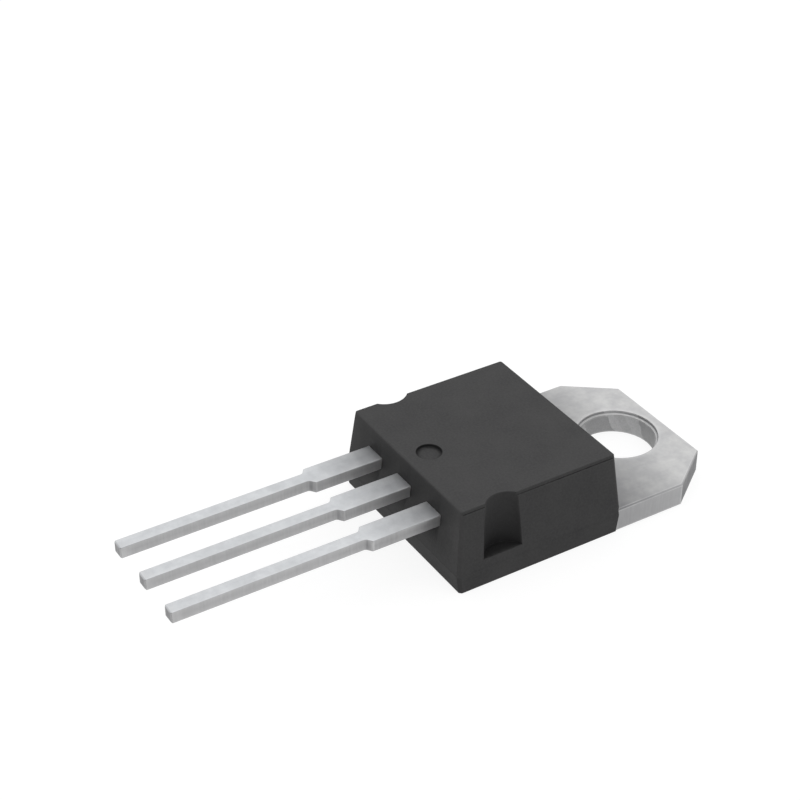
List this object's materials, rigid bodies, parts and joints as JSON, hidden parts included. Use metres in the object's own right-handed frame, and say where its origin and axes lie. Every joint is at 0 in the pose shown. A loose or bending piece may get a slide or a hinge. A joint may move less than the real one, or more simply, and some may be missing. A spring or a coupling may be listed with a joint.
{
  "type": "power supply controller ic",
  "caption": "Flat black moulded power package with a drilled metal mounting tab at one end and straight stepped leads at the other.",
  "frame": {"origin": "axis of the tab's mounting hole, in the plane of the mounting face that is the part's back", "axes": "+Z out of the mounting face towards the marked front face, +Y towards the tab's free end with the leads running to -Y, +X across towards pin 3 (drain)"},
  "size_m": [0.01, 0.0281, 0.0043],
  "materials": {
    "epoxy": "fine satin grain",
    "tinned_copper": "satin tin plate on copper",
    "silicon": "polished",
    "solder": "satin",
    "bond_wire": "satin"
  },
  "bodies": {
    "root": {"molded_body": "epoxy", "tab_frame": "tinned_copper", "control_lead": "tinned_copper", "drain_lead": "tinned_copper", "silicon_die": "silicon", "die_solder": "solder", "control_bond_wire": "bond_wire", "drain_bond_wire_1": "bond_wire", "drain_bond_wire_2": "bond_wire", "source_bond_wire_1": "bond_wire", "source_bond_wire_2": "bond_wire"}
  },
  "joints": []
}
